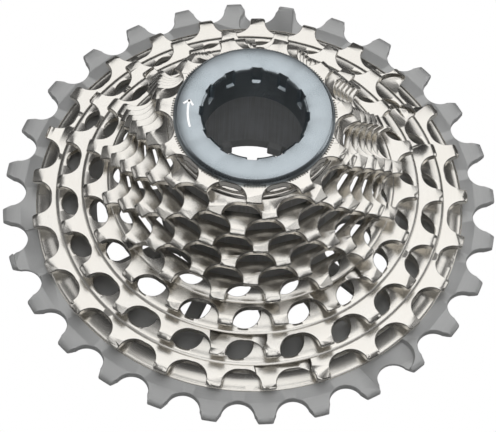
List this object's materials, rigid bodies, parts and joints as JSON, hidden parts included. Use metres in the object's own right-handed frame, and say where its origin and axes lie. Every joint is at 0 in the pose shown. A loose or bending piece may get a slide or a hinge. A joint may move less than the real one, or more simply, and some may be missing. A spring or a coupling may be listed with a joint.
{
  "type": "bicycle cassette sprocket",
  "caption": "Road bicycle cassette: a hollow, windowed dome of stepped steel sprockets on an aluminium back sprocket, with a loose end sprocket and a notched lockring",
  "frame": {"origin": "on the axle line, in the plane of the largest sprocket's back face", "axes": "+Z along the axle from the largest sprocket to the lockring (outboard on the wheel); X and Y across the sprockets, with a gap of the lockring's tool notches centred on +Y"},
  "size_m": [0.1158, 0.1158, 0.0409],
  "materials": {
    "back_plate": "brushed, clear grey anodised",
    "dome_steel": "satin warm nickel plating over turned steel",
    "sleeve_aluminium": "drawn tube, satin grey",
    "lockring_anodised": "light blue-grey anodised, turned"
  },
  "bodies": {
    "cluster": {"sprocket_28": "back_plate", "sprocket_25": "dome_steel", "sprocket_22": "dome_steel", "sprocket_19": "dome_steel", "sprocket_17": "dome_steel", "sprocket_16": "dome_steel", "sprocket_15": "dome_steel", "sprocket_14": "dome_steel", "sprocket_13": "dome_steel", "sprocket_12": "dome_steel", "inner_sleeve": "sleeve_aluminium"},
    "end_sprocket": {"sprocket_11": "dome_steel"},
    "lockring": {"lockring": "lockring_anodised"}
  },
  "joints": [
    {"name": "sprocket_11_slide", "type": "slide", "parent": "cluster", "child": "end_sprocket", "axis": [0, 0, 1], "range_m": [0, 0.0096]},
    {"name": "lockring_turn", "type": "hinge", "parent": "end_sprocket", "child": "lockring", "pos_m": [0, 0, 0.0392], "axis": [0, 0, 1], "range_deg": [0, 3240]}
  ],
  "couplings": [
    {"joint": "sprocket_11_slide", "follows": "lockring_turn", "m_per_rad": 0.00016839}
  ]
}
